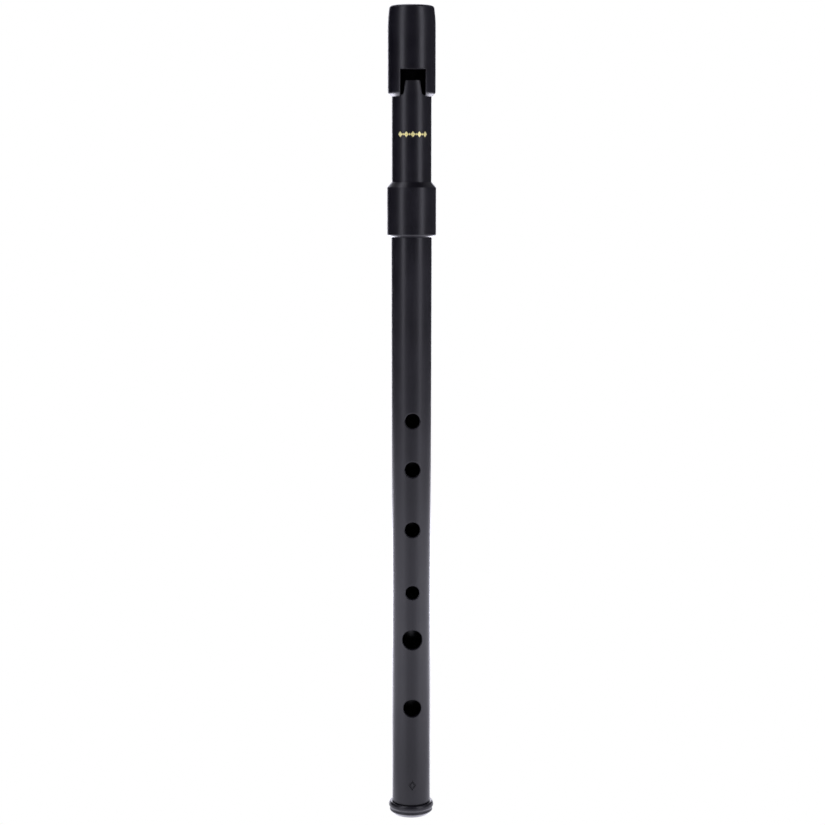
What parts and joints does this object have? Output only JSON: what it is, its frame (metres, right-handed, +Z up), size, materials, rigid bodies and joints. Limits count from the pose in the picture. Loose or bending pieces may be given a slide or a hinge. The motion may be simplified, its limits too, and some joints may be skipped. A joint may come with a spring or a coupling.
{
  "type": "tin whistle",
  "caption": "Tunable straight whistle with a slotted mouthpiece cap, a sliding tuning socket, finger holes along the tube and a beaded foot ring.",
  "frame": {"origin": "centre of the foot's flat end, on the whistle's axis", "axes": "+Z up along the whistle's axis towards the mouthpiece; the window and the finger holes face -Y; +X is to the right of someone who looks at the window"},
  "size_m": [0.0198, 0.0198, 0.3313],
  "materials": {
    "cap_plastic": "satin black",
    "block_plastic": "machined matt black",
    "neck_plastic": "satin black",
    "socket_plastic": "satin black",
    "tube_plastic": "satin black",
    "ring_plastic": "satin black",
    "gold_print": "thin gold foil print"
  },
  "bodies": {
    "body": {"body_tube": "tube_plastic", "foot_ring": "ring_plastic"},
    "head": {"tuning_socket": "socket_plastic", "head_tube": "neck_plastic", "mouthpiece_cap": "cap_plastic", "fipple_block": "block_plastic"}
  },
  "joints": [
    {"name": "tuning_slide", "type": "slide", "parent": "body", "child": "head", "axis": [0, 0, 1], "range_m": [0, 0.012]}
  ]
}
